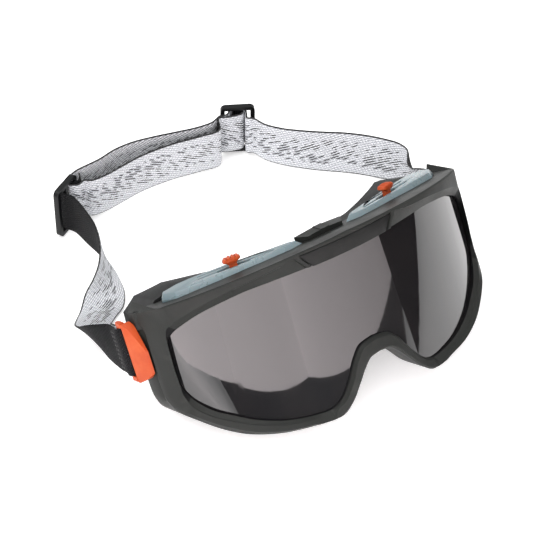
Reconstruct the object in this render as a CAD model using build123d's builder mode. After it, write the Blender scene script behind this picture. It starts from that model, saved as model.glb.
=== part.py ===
"""Full-seal tinted goggles with slider vents, side strap clips and a two-part elastic headband.

The goggles lean back on their skirt with the headband standing on edge behind them, +Z up.
Most of the goggles is built about one lens axis: the lens is part of a cylinder round it.
"""
from build123d import *
from math import cos, radians, sin
import os

os.makedirs("parts", exist_ok=True)

# ---------------------------------------------------------------- driving dimensions, mm and degrees
LEAN = 28.6                 # how far the lens axis leans back from vertical
AXIS_FOOT = Vector(-1.15, 17.07, -10.0)   # where the lens axis's own zero height lies
LENS_R = 105.0              # outer radius of the lens cylinder
LENS_T = 2.2                # lens thickness
GROOVE_GAP = 0.15           # clearance round the lens in its groove
LENS_TUCK = 3.0             # how far the lens edge goes into the frame
FRAME_R = 109.0             # front of the frame rim
FRAME_BACK_R = 93.0         # back of the frame rim
SKIRT_T = 2.4               # wall of the soft skirt
FACE_R = 80.0               # curvature of the wearer's face edge
FACE_CENTRE_Y = 15.0        # its centre behind the lens axis
FLOOR_GAP = 0.4             # skirt's height over the table
SKIRT_GAP = 0.3             # between the skirt and the back of the rim

VENT_FALL = 3.8             # vents fall towards the temples
VENT_HEIGHT = 38.6          # height of the vent covers' top planes at the middle
# A vent cover in plan (x outwards, y back), from its inner front corner round to its inner back one.
COVER_PLAN = [(11.3, -89.5), (17.5, -91.0), (28.0, -88.0), (38.0, -84.2), (47.0, -81.8),
              (57.0, -78.3), (65.5, -75.2), (69.5, -69.7), (67.5, -65.8), (60.0, -65.3),
              (54.0, -66.8), (40.0, -72.8), (26.0, -80.0), (15.0, -85.5)]
COVER_H = 5.5               # height of a vent cover
COVER_RISE = 2.2            # how far it stands out of the rim's roof
COVER_DRAFT = 1.3           # how far its top is drawn in
COVER_T = 1.4               # its wall
POCKET_GAP = 0.3            # round a cover, in the rim
GRILLE_T = 1.5
SHUTTER_T = 1.0
SHUTTER_L, SHUTTER_W, SHUTTER_SHIFT = 22.0, 4.2, 0.65
SLIDE_X, SLIDE_Y = 39.0, -79.8      # plan place of a knob
SLIDE_TURN = 22.0           # its slide's direction in plan, turned back from straight sideways
SLIDE_HALF = 5.0            # travel each way
STEM_W, STEM_L = 1.9, 3.4
SLOT_GAP = 0.3
KNOB_GAP = 2.4              # from the cover's top to the knob
KNOB_H, KNOB_W, KNOB_L = 3.4, 4.6, 7.8
SHELF_DEEP = 8.6            # the rim's roof under the vents, below their top plane
POCKET_FLOOR = 0.2          # under a vent's grille
AIR_DEEP, AIR_LEDGE = 20.0, 2.2     # the passage under a vent, and the ledge that holds the vent

WEB_W = 21.5                # elastic webbing width
WEB_T = 1.3                 # elastic webbing thickness
WEB_Z = 2.3                 # height of its lower edge where the sliders hold it up
SLIDER_L, SLIDER_H, SLIDER_D = 16.0, 26.4, 2.6
SLIDER_BAR = 2.0            # width of its bars
RIM_REAR_Y = -56.0          # back of the rim at the temples
PIVOT_Y, PIVOT_Z = -61.0, 12.0   # where a strap clip turns on the rim's side
PIVOT_R = 1.6
PIVOT_GAP = 0.05
PIVOT_IN_X, PIVOT_OUT_X = 76.8, 82.0
LOOP_BAR_X, LOOP_BAR_Y = 84.2, -54.1     # the clip's webbing bar
LOOP_BAR_R = 1.1
LOOP_GAP = 0.15             # between the bar and the webbing round it
LOOP_TAIL = 9.0             # from the bar to the end of the doubled webbing
LOOP_MEET = 5.0             # from the bar to where its two layers meet
CLIP_WEB_LOW = 2.5          # lower edge of the webbing at the clip
BIG = 400.0                 # longer than any part, for cutting

# ---------------------------------------------------------------- reference planes
AXIS = Vector(0, sin(radians(LEAN)), cos(radians(LEAN)))
BACK = Vector(0, cos(radians(LEAN)), -sin(radians(LEAN)))
LEVEL = Plane(origin=AXIS_FOOT, x_dir=(1, 0, 0), z_dir=AXIS)     # across the lens axis
FRONT = Plane(origin=AXIS_FOOT, x_dir=(1, 0, 0), z_dir=-BACK)    # seen from straight ahead
RIGHT, LEFT = 1, -1


def on_goggles(x, y, z):
    """A point given in the goggles' own axes, in the part's frame."""
    return AXIS_FOOT + Vector(1, 0, 0) * x + BACK * y + AXIS * z


def export(part, node):
    part.label = node
    export_step(part, f"parts/{node}.step")


def both_sides(points):
    """Close a half outline, listed from the middle of the top to the middle of the bottom."""
    return points + [(-x, z) for x, z in reversed(points) if x > 0]


# ---------------------------------------------------------------- outlines seen from the front
WINDOW_HALF = [(0, 30.4), (22, 30.4), (43, 30), (62, 26.2), (72.4, 20.8), (75.6, 13), (75.5, 0),
               (72.5, -9.5), (67.5, -16), (54, -24.6), (42, -28.8), (27, -30.4), (21.5, -28),
               (16, -21.5), (11, -13.5), (6, -8.6), (0, -8)]
RIM_HALF = [(0, 42), (60, 42), (82, 36), (82.4, 24), (82.4, 2), (81.6, -4),
            (78, -14), (68, -24), (58, -29.6), (45, -33), (32, -34.4), (24, -34), (17, -29.5),
            (12.2, -23), (8, -18), (4.5, -15.2), (0, -14.5)]
OUTLINE_FILLET = 4.0
PLATE_HALF = [(0, 37.1), (23, 37.1), (18.1, 30.9), (0, 30.9)]
PLATE_SEAT_HALF = [(0, 37.4), (23.4, 37.4), (18.2, 30), (0, 30)]


TUBE_LOW, TUBE_H = -46.0, 102.0     # ends of the tubes that the rim and lens are cut from


def outline(half_points, x_scale=1.0, z_scale=1.0):
    """A closed outline with straight sides."""
    with BuildSketch() as face:
        with BuildLine():
            Polyline(*[(x * x_scale, z * z_scale) for x, z in both_sides(half_points)], close=True)
        make_face()
    return face.sketch


def smooth_outline(half_points, grow=0.0):
    """A closed outline with rounded sides, grown evenly all round."""
    with BuildSketch() as face:
        with BuildLine():
            Polyline(*both_sides(half_points), close=True)
        make_face()
        fillet(face.vertices(), radius=OUTLINE_FILLET)
        if grow:
            offset(amount=grow)
    return face.sketch


def curved_panel(face, outer_r, inner_r, back_y=-30.0):
    """What an outline seen from the front cuts out of a tube about the lens axis."""
    with BuildPart() as panel:
        with BuildSketch(LEVEL.offset(TUBE_LOW)):
            Circle(outer_r)
            Circle(inner_r, mode=Mode.SUBTRACT)
        extrude(amount=TUBE_H)
        with BuildSketch(FRONT.offset(-back_y)):
            add(face)
        extrude(amount=90, mode=Mode.INTERSECT)
    return panel.part


# ---------------------------------------------------------------- roof and vent planes, one per side
ROOF_HEIGHT, ROOF_SLOPE, ROOF_FALL = 19.2, 10.5, 0.95


def vent_plane(side, height=0.0):
    """A vent cover's top plane: x to the right, y back, z up through the cover."""
    fall = radians(VENT_FALL)
    up = Vector(1, 0, 0) * (side * sin(fall)) + AXIS * cos(fall)
    across = Vector(1, 0, 0) * cos(fall) - AXIS * (side * sin(fall))
    return Plane(origin=on_goggles(0, 0, VENT_HEIGHT), x_dir=across, z_dir=up).offset(height)


def roof_plane(side):
    """The rim's roof, which slopes down towards the vents and a little towards the temple."""
    fall, slope = radians(ROOF_FALL), radians(ROOF_SLOPE)
    back = BACK * cos(slope) - AXIS * sin(slope)
    up = AXIS * cos(slope) + BACK * sin(slope)
    across = Vector(1, 0, 0) * cos(fall) - up * (side * sin(fall))
    return Plane(origin=on_goggles(0, 0, ROOF_HEIGHT), x_dir=across, z_dir=across.cross(back))


def cover_plan(side, grow=0.0):
    """A vent cover's plan outline, grown evenly all round."""
    with BuildSketch() as face:
        with BuildLine():
            Polyline(*[(side * x, y) for x, y in COVER_PLAN], close=True)
        make_face()
        if grow:
            offset(amount=grow, kind=Kind.INTERSECTION)
    return face.sketch


def on_slide(side, along, across, length, width):
    """A rectangle placed along a knob's slide: along is outwards from the knob, across is back."""
    c, s = cos(radians(SLIDE_TURN)), sin(radians(SLIDE_TURN))
    x = SLIDE_X + along * c - across * s
    y = SLIDE_Y + along * s + across * c
    with BuildSketch() as face:
        with Locations(Location((side * x, y, 0), (0, 0, side * SLIDE_TURN))):
            Rectangle(length, width)
    return face.sketch


# ================================================================ rim, lens and brow plate
rim_band = curved_panel(outline(RIM_HALF), FRAME_R, FRAME_BACK_R, RIM_REAR_Y)
window = curved_panel(smooth_outline(WINDOW_HALF), FRAME_R + 5, FRAME_BACK_R - 5)
groove = curved_panel(smooth_outline(WINDOW_HALF, LENS_TUCK + GROOVE_GAP),
                      LENS_R + GROOVE_GAP, LENS_R - LENS_T - GROOVE_GAP)
plate_seat = curved_panel(outline(PLATE_SEAT_HALF), FRAME_R + 5, FRAME_R - 1.6)

# the rim's roof runs back round the vents, and stands up between them
SHELF_PLAN = [(0, -98), (30, -95), (62, -80), (77, -66), (77, -61), (69.5, -62.2), (60, -62.8),
              (54, -64.3), (40, -70.4), (26, -77.6), (14, -83.4), (0, -84)]
HALF_LAP = 2.0              # how far each side's part runs past the middle
# The rim's front turns back beside the window, and its sides run straight behind that.
TEMPLE_CUT = [(74.0, -81.3), (79.4, -70.2), (80.0, -68.6), (80.0, -50.0), (95.0, -50.0), (95.0, -81.3)]
SADDLE_PLAN = [(0, -91.5), (8.6, -91.3), (11.6, -84.6), (0, -84.6)]


def both_halves(half_points, grow=0.0):
    """A plan outline given by its right half, front to back."""
    with BuildSketch() as face:
        with BuildLine():
            Polyline(*(half_points + [(-x, y) for x, y in reversed(half_points) if x > 0]), close=True)
        make_face()
        if grow:
            offset(amount=grow, kind=Kind.INTERSECTION)
    return face.sketch


def half_block(side, sketch, low, high):
    """One side's part of a plan outline, between two heights measured from its vent plane."""
    with BuildPart() as block:
        with BuildSketch(vent_plane(side, low)):
            add(sketch)
            with Locations((-side * (BIG / 4 + HALF_LAP), 0)):
                Rectangle(BIG / 2, BIG, mode=Mode.SUBTRACT)
        extrude(amount=high - low)
    return block.part


with BuildPart() as frame:
    add(rim_band)
    for side in (RIGHT, LEFT):
        add(half_block(side, both_halves(SHELF_PLAN), -SHELF_DEEP, 3))
    for side in (RIGHT, LEFT):
        with BuildSketch(roof_plane(side)):
            with Locations((side * (BIG / 4 - HALF_LAP), 0)):
                Rectangle(BIG / 2, BIG)
        extrude(amount=BIG, mode=Mode.SUBTRACT)
    for side in (RIGHT, LEFT):
        add(half_block(side, both_halves(SADDLE_PLAN), -SHELF_DEEP, -0.3))
    add(window, mode=Mode.SUBTRACT)
    add(groove, mode=Mode.SUBTRACT)
    add(plate_seat, mode=Mode.SUBTRACT)
    for side in (RIGHT, LEFT):
        # pocket for the vent, and the air passage under it
        with BuildSketch(vent_plane(side, -COVER_H - GRILLE_T - POCKET_FLOOR)):
            add(cover_plan(side, POCKET_GAP))
        extrude(amount=BIG, mode=Mode.SUBTRACT)
        with BuildSketch(vent_plane(side, -AIR_DEEP)):
            add(cover_plan(side, -AIR_LEDGE))
        extrude(amount=BIG, mode=Mode.SUBTRACT)
        with BuildSketch(LEVEL.offset(TUBE_LOW)):
            with BuildLine():
                Polyline(*[(side * x, y) for x, y in TEMPLE_CUT], close=True)
            make_face()
        extrude(amount=TUBE_H, mode=Mode.SUBTRACT)
        # blind socket for the clip's pivot pin
        with BuildSketch(Plane(origin=on_goggles(side * PIVOT_IN_X, PIVOT_Y, PIVOT_Z),
                               z_dir=(side, 0, 0))):
            Circle(PIVOT_R)
        extrude(amount=BIG, mode=Mode.SUBTRACT)
    # the lobes rest on the table
    with BuildSketch(Plane.XY):
        Rectangle(BIG, BIG)
    extrude(amount=BIG, mode=Mode.INTERSECT)
export(frame.part, "frame")

with BuildPart() as lens:
    add(curved_panel(smooth_outline(WINDOW_HALF, LENS_TUCK), LENS_R, LENS_R - LENS_T))
export(lens.part, "lens")

with BuildPart() as brow_plate:
    add(curved_panel(outline(PLATE_HALF), FRAME_R - 0.5, FRAME_R - 1.6))
export(brow_plate.part, "brow_plate")


# ================================================================ soft skirt
SKIRT_FRONT_HALF = [(0, 33), (30, 34), (50, 37), (62, 38.5), (74, 35.5), (80, 27), (81, 2), (79, -5),
                    (74, -13.5), (65, -22), (55, -28), (44, -31), (32, -32.6), (24, -32), (18.5, -28.5),
                    (13.6, -22), (9.2, -17), (5, -13.4), (0, -12.6)]
SKIRT_BACK_X, SKIRT_BACK_Z = 0.86, 0.7      # the skirt draws in towards the face
SKIRT_FRONT_Y, SKIRT_BACK_Y = 95.0, 25.0


with BuildPart() as rim_space_block:
    with BuildSketch(FRONT.offset(-RIM_REAR_Y - SKIRT_GAP)):
        Rectangle(BIG, BIG)
    extrude(amount=BIG)
    with BuildSketch(LEVEL.offset(TUBE_LOW)):
        Circle(FRAME_BACK_R - SKIRT_GAP)
    extrude(amount=TUBE_H, mode=Mode.SUBTRACT)
rim_space = rim_space_block.part


def skirt_body(inset, floor_gap):
    """The skirt's space: lofted from the rim to the face, above the table, inside the rim's back."""
    with BuildPart() as body:
        for depth, x_scale, z_scale in ((SKIRT_FRONT_Y, 1.0, 1.0),
                                        (SKIRT_BACK_Y, SKIRT_BACK_X, SKIRT_BACK_Z)):
            with BuildSketch(FRONT.offset(depth)):
                add(outline(SKIRT_FRONT_HALF, x_scale, z_scale))
                if inset:
                    offset(amount=-inset, kind=Kind.INTERSECTION)
        loft(ruled=True)
        # behind the rim
        add(rim_space, mode=Mode.SUBTRACT)
        # above the table
        with BuildSketch(Plane.XY.offset(floor_gap)):
            Rectangle(BIG, BIG)
        extrude(amount=BIG, mode=Mode.INTERSECT)
    return body.part


with BuildPart() as face_skirt:
    add(skirt_body(0, FLOOR_GAP))
    add(skirt_body(SKIRT_T, FLOOR_GAP + SKIRT_T), mode=Mode.SUBTRACT)
    # the edge that meets the face
    with BuildSketch(LEVEL.offset(-60)):
        with Locations((0, FACE_CENTRE_Y)):
            Circle(FACE_R)
    extrude(amount=130, mode=Mode.SUBTRACT)
    # room for the rim's roof and the vents
    for side in (RIGHT, LEFT):
        add(half_block(side, both_halves(SHELF_PLAN, SKIRT_GAP), -SHELF_DEEP - SKIRT_GAP, 30),
            mode=Mode.SUBTRACT)
export(face_skirt.part, "face_skirt")

# ================================================================ vents, one set per side
TROUGH_DEEP, TROUGH_W = 0.5, 0.9                     # grooves along a cover's top
TROUGHS = ((-1.0, 0.0, 33.0), (2.0, 2.9, 27.0))      # (along, across, length)
AIR_ROWS = (-0.95, 2.05)
AIR_L, AIR_W, AIR_PITCH = 2.6, 1.3, 4.0
SIDE_NAMES = {RIGHT: "right", LEFT: "left"}

for side, name in SIDE_NAMES.items():
    with BuildPart() as cover:
        for wall in (0, COVER_T):
            mode = Mode.SUBTRACT if wall else Mode.ADD
            with BuildSketch(vent_plane(side, -COVER_H)):
                add(cover_plan(side, -wall))
            extrude(amount=COVER_H - COVER_RISE, mode=mode)
            with BuildSketch(vent_plane(side, -COVER_RISE)):
                add(cover_plan(side, -wall))
            with BuildSketch(vent_plane(side, -wall)):
                add(cover_plan(side, -wall - COVER_DRAFT))
            loft(ruled=True, mode=mode)
        # grooves, and the slot for the knob's stem
        for along, across, length in TROUGHS:
            with BuildSketch(vent_plane(side, -TROUGH_DEEP)):
                add(on_slide(side, along, across, length, TROUGH_W))
            extrude(amount=1, mode=Mode.SUBTRACT)
        slot_l = STEM_L + 2 * (SLIDE_HALF + SLOT_GAP)
        with BuildSketch(vent_plane(side, -COVER_H)):
            add(on_slide(side, 0, 0, slot_l, STEM_W + 2 * SLOT_GAP))
        extrude(amount=COVER_H + 1, mode=Mode.SUBTRACT)
    export(cover.part, f"vent_cover_{name}")

    with BuildPart() as grille:
        with BuildSketch(vent_plane(side, -COVER_H - GRILLE_T - 0.1)):
            add(cover_plan(side))
            for row in AIR_ROWS:
                for step in range(-4, 5):
                    add(on_slide(side, step * AIR_PITCH, row, AIR_L, AIR_W), mode=Mode.SUBTRACT)
        extrude(amount=GRILLE_T)
    export(grille.part, f"vent_grille_{name}")

    with BuildPart() as shutter:
        with BuildSketch(vent_plane(side, -COVER_H + 0.3)):
            add(on_slide(side, 0, SHUTTER_SHIFT, SHUTTER_L, SHUTTER_W))
            for step in range(-2, 3):
                add(on_slide(side, step * AIR_PITCH, AIR_ROWS[1], AIR_L, AIR_W - 0.3), mode=Mode.SUBTRACT)
        extrude(amount=SHUTTER_T)
        with BuildSketch(vent_plane(side, -COVER_H + 0.3 + SHUTTER_T)):
            add(on_slide(side, 0, 0, STEM_L, STEM_W))
        extrude(amount=COVER_H - 0.3 - SHUTTER_T + KNOB_GAP)
    export(shutter.part, f"vent_shutter_{name}")

    with BuildPart() as knob:
        with BuildSketch(vent_plane(side, KNOB_GAP)):
            add(on_slide(side, 0, 0, KNOB_L, KNOB_W))
        extrude(amount=KNOB_H)
    export(knob.part, f"vent_knob_{name}")

# ================================================================ strap clips and their pivots
# From above, a clip is a wedge against the rim's side, thickest by the webbing.
CLIP_PLAN = [(81.9, -57.1), (84.8, -57.1), (85.0, -58.0), (81.4, -65.9), (80.35, -66.4), (80.35, -60.0)]
# From the side: (y, z) of its sloping outline.
CLIP_SIDE = [(-57.0, 25.6), (-58.6, 26.0), (-61.1, 23.3), (-66.5, 13.3), (-66.9, 4.1), (-62.8, 1.1),
             (-58.8, -0.4), (-57.0, 0.2)]
BAR_ARM_T = 2.0
ARM_GAP = 0.3
ARM_FRONT_Y = -57.8         # where the arms start inside the clip
BORE_IN_X = 79.0            # the pin's bore is cut outwards from here

for side, name in SIDE_NAMES.items():
    arm_lows = (CLIP_WEB_LOW - ARM_GAP - BAR_ARM_T, CLIP_WEB_LOW + WEB_W + ARM_GAP)
    with BuildPart() as clip:
        with BuildSketch(LEVEL.offset(TUBE_LOW)):
            with BuildLine():
                Polyline(*[(side * x, y) for x, y in CLIP_PLAN], close=True)
            make_face()
        extrude(amount=TUBE_H)
        # sloping ends, cut by the side outline
        with BuildSketch(Plane(origin=on_goggles(0, 0, 0), x_dir=BACK * side, z_dir=(side, 0, 0))):
            with BuildLine():
                Polyline(*[(side * y, z) for y, z in CLIP_SIDE], close=True)
            make_face()
        extrude(amount=BIG, mode=Mode.INTERSECT)
        # arms that carry the webbing bar
        for low in arm_lows:
            with BuildSketch(LEVEL.offset(low)):
                with Locations((side * LOOP_BAR_X, (LOOP_BAR_Y + ARM_FRONT_Y) / 2)):
                    Rectangle(2 * LOOP_BAR_R, LOOP_BAR_Y - ARM_FRONT_Y)
            extrude(amount=BAR_ARM_T)
        with BuildSketch(LEVEL.offset(arm_lows[0])):
            with Locations((side * LOOP_BAR_X, LOOP_BAR_Y)):
                Circle(LOOP_BAR_R)
        extrude(amount=WEB_W + 2 * (BAR_ARM_T + ARM_GAP))
        # bearing for the pivot pin
        with BuildSketch(Plane(origin=on_goggles(side * BORE_IN_X, PIVOT_Y, PIVOT_Z), z_dir=(side, 0, 0))):
            Circle(PIVOT_R + PIVOT_GAP)
        extrude(amount=PIVOT_OUT_X + PIVOT_GAP - BORE_IN_X, mode=Mode.SUBTRACT)
    export(clip.part, f"strap_clip_{name}")

    with BuildPart() as pin:
        with BuildSketch(Plane(origin=on_goggles(side * PIVOT_IN_X, PIVOT_Y, PIVOT_Z),
                               z_dir=(side, 0, 0))):
            Circle(PIVOT_R)
        extrude(amount=PIVOT_OUT_X - PIVOT_IN_X)
    export(pin.part, f"clip_pivot_pin_{name}")

# ================================================================ sliders and headband
# Plan places on the table, relative to the foot of the lens axis; webbing stands on edge there.
SLIDER_LEFT, SLIDER_LEFT_TURN = (-50.0, 64.6), 27.8
SLIDER_BACK, SLIDER_BACK_TURN = (43.8, 65.6), -29.9


def at_slider(centre, turn, along, away):
    """A plan point given along a slider's width and away from the goggles."""
    c, s = cos(radians(turn)), sin(radians(turn))
    return (AXIS_FOOT.X + centre[0] + along * c - away * s,
            AXIS_FOOT.Y + centre[1] + along * s + away * c)


def left_point(along, away):
    return at_slider(SLIDER_LEFT, SLIDER_LEFT_TURN, along, away)


def back_point(along, away):
    return at_slider(SLIDER_BACK, SLIDER_BACK_TURN, along, away)


def plan(x, y):
    return (AXIS_FOOT.X + x, AXIS_FOOT.Y + y)


for centre, turn, name in ((SLIDER_LEFT, SLIDER_LEFT_TURN, "left"),
                           (SLIDER_BACK, SLIDER_BACK_TURN, "back")):
    c, s = cos(radians(turn)), sin(radians(turn))
    middle = (AXIS_FOOT.X + centre[0], AXIS_FOOT.Y + centre[1], SLIDER_H / 2)
    with BuildPart() as slider:
        with BuildSketch(Plane(origin=middle, x_dir=(c, s, 0), z_dir=(s, -c, 0)).offset(-SLIDER_D / 2)):
            RectangleRounded(SLIDER_L, SLIDER_H, 2.5)
            slot_l = SLIDER_L / 2 - 1.5 * SLIDER_BAR
            for way in (1, -1):
                with Locations((way * (SLIDER_BAR + slot_l) / 2, 0)):
                    Rectangle(slot_l, SLIDER_H - 2 * SLIDER_BAR, mode=Mode.SUBTRACT)
        extrude(amount=SLIDER_D)
    export(slider.part, f"strap_slider_{name}")


def ribbon(path, samples, thickness=WEB_T):
    """Plan outline of webbing that follows a smooth path standing on edge."""
    line = Spline(*[(x, y, 0) for x, y in path])
    ahead, behind = [], []
    for i in range(samples + 1):
        spot, way = line @ (i / samples), (line % (i / samples))
        across = Vector(-way.Y, way.X, 0).normalized() * (thickness / 2)
        ahead.append(spot + across)
        behind.append(spot - across)
    with BuildSketch() as face:
        with BuildLine():
            one = Spline(*ahead)
            other = Spline(*behind)
            Line(one @ 0, other @ 0)
            Line(one @ 1, other @ 1)
        make_face()
    return face.sketch


def webbing_loft(stations):
    """Webbing through stations of (lower edge point, upper edge point), evenly thick."""
    middles = [(low + high) * 0.5 for low, high in stations]
    with BuildPart() as web:
        for i, (low, high) in enumerate(stations):
            ahead = middles[min(i + 1, len(middles) - 1)] - middles[max(i - 1, 0)]
            width = (high - low).normalized()
            ahead = (ahead - width * ahead.dot(width)).normalized()
            with BuildSketch(Plane(origin=middles[i], x_dir=width, z_dir=ahead)):
                Rectangle(WEB_W, WEB_T)
        loft(ruled=True)
    return web.part


def clip_loop(side):
    """The sewn end of webbing round a clip's bar, and the straight doubled tail behind it."""
    inner = LOOP_BAR_R + LOOP_GAP
    outer = inner + WEB_T
    bar, meet, end = LOOP_BAR_Y, LOOP_BAR_Y + LOOP_MEET, LOOP_BAR_Y + LOOP_TAIL
    foot = on_goggles(side * LOOP_BAR_X, 0, CLIP_WEB_LOW)
    with BuildPart() as loop:
        with BuildSketch(Plane(origin=foot, x_dir=(1, 0, 0), z_dir=AXIS)):
            with Locations((0, bar)):
                Circle(outer)
            with Locations((0, (bar + end) / 2)):
                Rectangle(2 * outer, end - bar)
            with Locations((0, bar)):
                Circle(inner, mode=Mode.SUBTRACT)
            with BuildLine():
                Polyline((-inner, bar), (inner, bar), (0.1, meet), (-0.1, meet), close=True)
            make_face(mode=Mode.SUBTRACT)
            # the tail narrows to the two layers pressed together
            for way in (1, -1):
                pressed = way * (WEB_T + 0.05)
                beyond = way * (outer + 1)
                with BuildLine():
                    Polyline((beyond, bar + 1), (way * outer, bar + 1), (pressed, meet),
                             (pressed, end + 1), (beyond, end + 1), close=True)
                make_face(mode=Mode.SUBTRACT)
        extrude(amount=WEB_W)
    return loop.part


def at_clip(side, depth):
    """Lower and upper edges of webbing running straight back from a clip."""
    return (on_goggles(side * LOOP_BAR_X, depth, CLIP_WEB_LOW),
            on_goggles(side * LOOP_BAR_X, depth, CLIP_WEB_LOW + WEB_W))


def edge(lower, upper):
    """A station given relative to the foot of the lens axis in plan, heights over the table."""
    return (Vector(AXIS_FOOT.X + lower[0], AXIS_FOOT.Y + lower[1], lower[2]),
            Vector(AXIS_FOOT.X + upper[0], AXIS_FOOT.Y + upper[1], upper[2]))


# The left webbing drops from its clip, lies over on the table with its inside up, stands up again,
# threads the left slider, and runs to the back slider's middle bar, where it is sewn.
left_fall = [
    at_clip(LEFT, LOOP_BAR_Y + LOOP_TAIL),
    edge((-83.9, -32.0, 11.0), (-87.4, -23.8, 30.6)),
    edge((-82.6, -24.6, 8.0), (-90.0, -18.6, 27.2)),
    edge((-78.0, -13.5, 2.6), (-89.6, -11.5, 20.5)),
    edge((-72.0, -4.0, 0.9), (-88.0, -4.8, 15.2)),
    edge((-64.5, 1.5, 0.8), (-83.5, 1.5, 10.8)),
    edge((-57.5, 5.6, 0.8), (-77.8, 8.0, 7.6)),
    edge((-52.6, 12.4, 0.8), (-72.0, 13.4, 9.8)),
    edge((-50.0, 20.4, 0.8), (-66.2, 15.8, 14.0)),
    edge((-48.4, 28.6, 0.9), (-60.2, 20.4, 17.0)),
    edge((-48.6, 35.6, 1.3), (-55.0, 27.6, 20.0)),
    edge((-49.2, 42.0, 1.8), (-51.6, 36.6, 22.4)),
    edge((-49.8, 48.6, 2.1), (-50.4, 46.2, 23.4)),
    edge((-50.0, 54.6, WEB_Z), (-50.0, 54.6, WEB_Z + WEB_W)),
]
left_run = [
    plan(-50.0, 54.4), plan(-50.3, 57.2), left_point(-3.5, -4.4), left_point(-3.6, -1.6),
    left_point(-2.9, 1.4), left_point(0.0, 2.7), left_point(2.7, 1.4), left_point(3.2, -1.4),
    left_point(4.9, -4.0), left_point(8.6, -4.8), plan(-37.6, 62.4), plan(-30.0, 61.9),
    plan(-22.0, 62.8), plan(-10.0, 64.0), plan(5.0, 63.0), plan(19.0, 60.2), plan(29.0, 58.9),
    back_point(-9.0, -4.5), back_point(-4.6, -4.0), back_point(-1.0, -3.2), back_point(1.4, -2.4),
    back_point(2.35, -0.8), back_point(2.25, 0.9), back_point(1.4, 2.2), back_point(0.0, 2.6),
    back_point(-1.4, 2.2), back_point(-2.25, 0.9), back_point(-2.4, -0.5), back_point(-2.7, -1.8),
]
with BuildPart() as strap_left:
    add(clip_loop(LEFT))
    add(webbing_loft(left_fall))
    with BuildSketch(Plane.XY.offset(WEB_Z)):
        add(ribbon(left_run, 110))
    extrude(amount=WEB_W)
export(strap_left.part, "strap_left")

# The right webbing drops from its clip, bends in sharply behind the goggles, threads the back
# slider, and runs behind the left webbing to the left slider's outer bar, where it is sewn.
right_fall = [
    at_clip(RIGHT, LOOP_BAR_Y + LOOP_TAIL),
    edge((86.4, -31.5, 11.0), (84.0, -23.2, 30.7)),
    edge((89.0, -26.4, 9.0), (83.4, -18.8, 28.2)),
    edge((91.8, -20.0, 6.6), (83.4, -15.0, 25.8)),
    edge((93.2, -13.6, 5.2), (84.4, -10.6, 24.6)),
    edge((93.8, -7.6, 3.8), (87.6, -6.4, 24.2)),
    edge((92.4, -1.6, 2.8), (91.0, -1.6, 24.1)),
    edge((89.2, 3.2, WEB_Z), (90.8, 4.4, 23.7)),
    edge((85.0, 8.0, WEB_Z), (88.0, 9.8, 23.4)),
    edge((79.6, 14.8, WEB_Z), (82.6, 17.0, 23.5)),
    edge((73.0, 21.6, WEB_Z), (75.4, 24.2, 23.6)),
    edge((66.0, 28.0, WEB_Z), (67.6, 30.4, 23.6)),
    edge((59.2, 34.8, WEB_Z), (60.2, 36.6, 23.7)),
    edge((53.2, 42.0, WEB_Z), (53.6, 43.0, 23.75)),
    edge((48.6, 49.8, WEB_Z), (48.7, 50.2, WEB_Z + WEB_W)),
    edge((46.8, 57.0, WEB_Z), (46.8, 57.0, WEB_Z + WEB_W)),
]
right_run = [
    plan(46.85, 56.8), back_point(3.95, -5.2), back_point(3.9, -2.4), back_point(3.8, 0.6),
    back_point(3.1, 2.9), back_point(1.5, 4.0), back_point(0.0, 4.25), back_point(-1.6, 4.0),
    back_point(-3.1, 2.9), back_point(-3.85, 0.9), back_point(-4.4, -1.2), back_point(-5.7, -2.5),
    back_point(-8.2, -2.8), plan(29.5, 65.5), plan(22.0, 66.2),
    plan(12.0, 69.0), plan(2.0, 72.0), plan(-8.5, 74.4), plan(-18.0, 74.6), plan(-27.0, 72.9),
    left_point(12.4, 1.9), left_point(9.2, 2.4), left_point(7.0, 2.5), left_point(5.3, 1.8),
    left_point(4.85, 0.0), left_point(5.3, -1.8), left_point(7.0, -2.5), left_point(9.2, -1.9),
    left_point(11.6, -0.3),
]
with BuildPart() as strap_right:
    add(clip_loop(RIGHT))
    add(webbing_loft(right_fall))
    with BuildSketch(Plane.XY.offset(WEB_Z)):
        add(ribbon(right_run, 110))
    extrude(amount=WEB_W)
export(strap_right.part, "strap_right")

# ================================================================ stitching of the sewn ends
STITCH_L, STITCH_W, STITCH_PROUD = 1.5, 0.5, 0.25
STITCH_PITCH = 2.1
STITCH_ROWS = (6.0, 8.0)    # distances behind a clip's bar

with BuildPart() as strap_stitching:
    for side in (RIGHT, LEFT):
        for row in STITCH_ROWS:
            for step in range(9):
                z = CLIP_WEB_LOW + WEB_W / 2 + (step - 4) * STITCH_PITCH
                spot = on_goggles(side * (LOOP_BAR_X + WEB_T + 0.06), LOOP_BAR_Y + row, z)
                with BuildSketch(Plane(origin=spot, x_dir=AXIS, z_dir=(side, 0, 0))):
                    SlotOverall(STITCH_L, STITCH_W)
                extrude(amount=STITCH_PROUD)
export(strap_stitching.part, "strap_stitching")
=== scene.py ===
"""Looks for full-seal tinted goggles with slider vents, strap clips and a two-part elastic headband.

Everything is in the row frame, in metres. The goggles' own axes lean back: x to the right as seen
from in front, y back, z up along the lens axis. Sizes are written in millimetres and scaled by MM.
"""
import math

import bmesh
import bpy
import numpy as np
from mathutils import Matrix, Vector


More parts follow.
